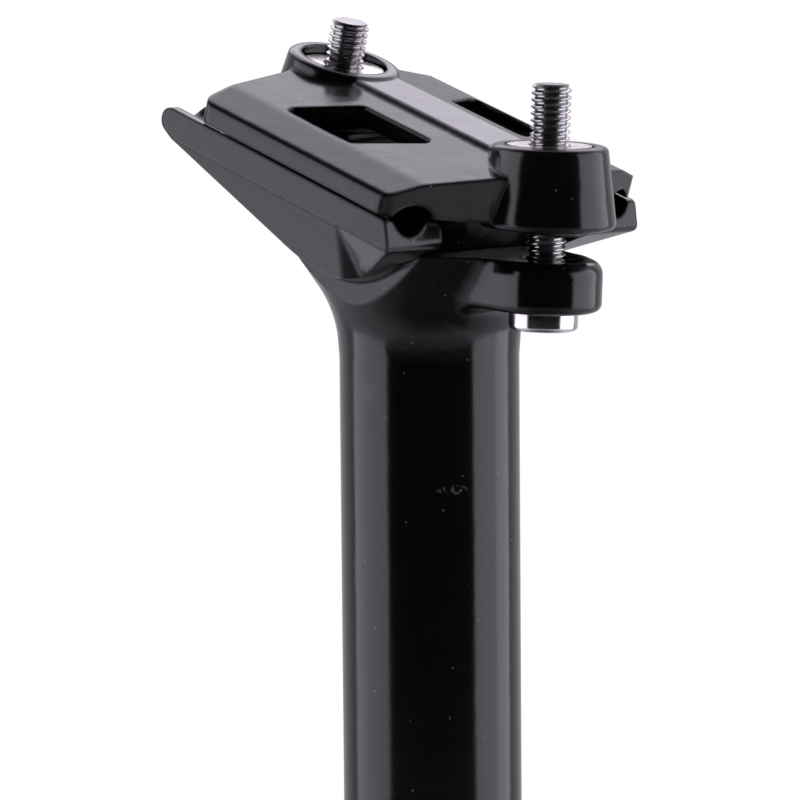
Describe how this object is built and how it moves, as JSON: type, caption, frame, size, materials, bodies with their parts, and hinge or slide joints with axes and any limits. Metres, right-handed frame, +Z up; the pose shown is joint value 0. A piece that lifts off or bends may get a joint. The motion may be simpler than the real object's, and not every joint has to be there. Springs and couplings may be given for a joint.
{
  "type": "bicycle_seatpost",
  "caption": "Gloss black bicycle seatpost with a forged head, a tilting saddle clamp, slim steel bolts from below and round nuts sunk in the upper clamp",
  "frame": {"origin": "centre of the open bottom end of the tube", "axes": "+Z runs up the tube to the clamp, +X points forward along the bicycle, +Y points to the left"},
  "size_m": [0.0665, 0.054, 0.3721],
  "materials": {
    "black_paint": "gloss",
    "bolt_steel": "satin",
    "nut_plating": "satin"
  },
  "bodies": {
    "post": {"post": "black_paint"},
    "clamp": {"lower_cradle": "black_paint", "upper_clamp": "black_paint"},
    "front_washer": {"front_washer": "bolt_steel"},
    "rear_washer": {"rear_washer": "bolt_steel"},
    "front_bolt": {"front_bolt": "bolt_steel"},
    "rear_bolt": {"rear_bolt": "bolt_steel"},
    "front_nut": {"front_nut": "nut_plating"},
    "rear_nut": {"rear_nut": "nut_plating"}
  },
  "joints": [
    {"name": "cradle_tilt", "type": "hinge", "parent": "post", "child": "clamp", "pos_m": [0, 0, 0.35], "axis": [0, 1, 0], "range_deg": [-6, 5]},
    {"name": "front_bolt_swing", "type": "hinge", "parent": "post", "child": "front_washer", "pos_m": [0.02333, 0, 0.32766], "axis": [0, 1, 0], "range_deg": [-2, 2]},
    {"name": "rear_bolt_swing", "type": "hinge", "parent": "post", "child": "rear_washer", "pos_m": [-0.02477, 0, 0.33734], "axis": [0, 1, 0], "range_deg": [-3, 3]},
    {"name": "front_bolt_turn", "type": "hinge", "parent": "front_washer", "child": "front_bolt", "pos_m": [0.0248, 0, 0.354], "axis": [0.0558, 0, 0.9984], "continuous": true},
    {"name": "rear_bolt_turn", "type": "hinge", "parent": "rear_washer", "child": "rear_bolt", "pos_m": [-0.0178, 0, 0.3649], "axis": [0.2453, 0, 0.9694], "continuous": true},
    {"name": "front_nut_swivel", "type": "hinge", "parent": "clamp", "child": "front_nut", "pos_m": [0.02495, 0, 0.35665], "axis": [0, 1, 0], "range_deg": [-5, 5]},
    {"name": "rear_nut_swivel", "type": "hinge", "parent": "clamp", "child": "rear_nut", "pos_m": [-0.01715, 0, 0.36747], "axis": [0, 1, 0], "range_deg": [-4, 4]}
  ],
  "couplings": [
    {"joint": "front_bolt_swing", "follows": "cradle_tilt", "ratio": 0.2767},
    {"joint": "rear_bolt_swing", "follows": "cradle_tilt", "ratio": 0.4096},
    {"joint": "front_nut_swivel", "follows": "cradle_tilt", "ratio": -0.7233},
    {"joint": "rear_nut_swivel", "follows": "cradle_tilt", "ratio": -0.5904}
  ]
}
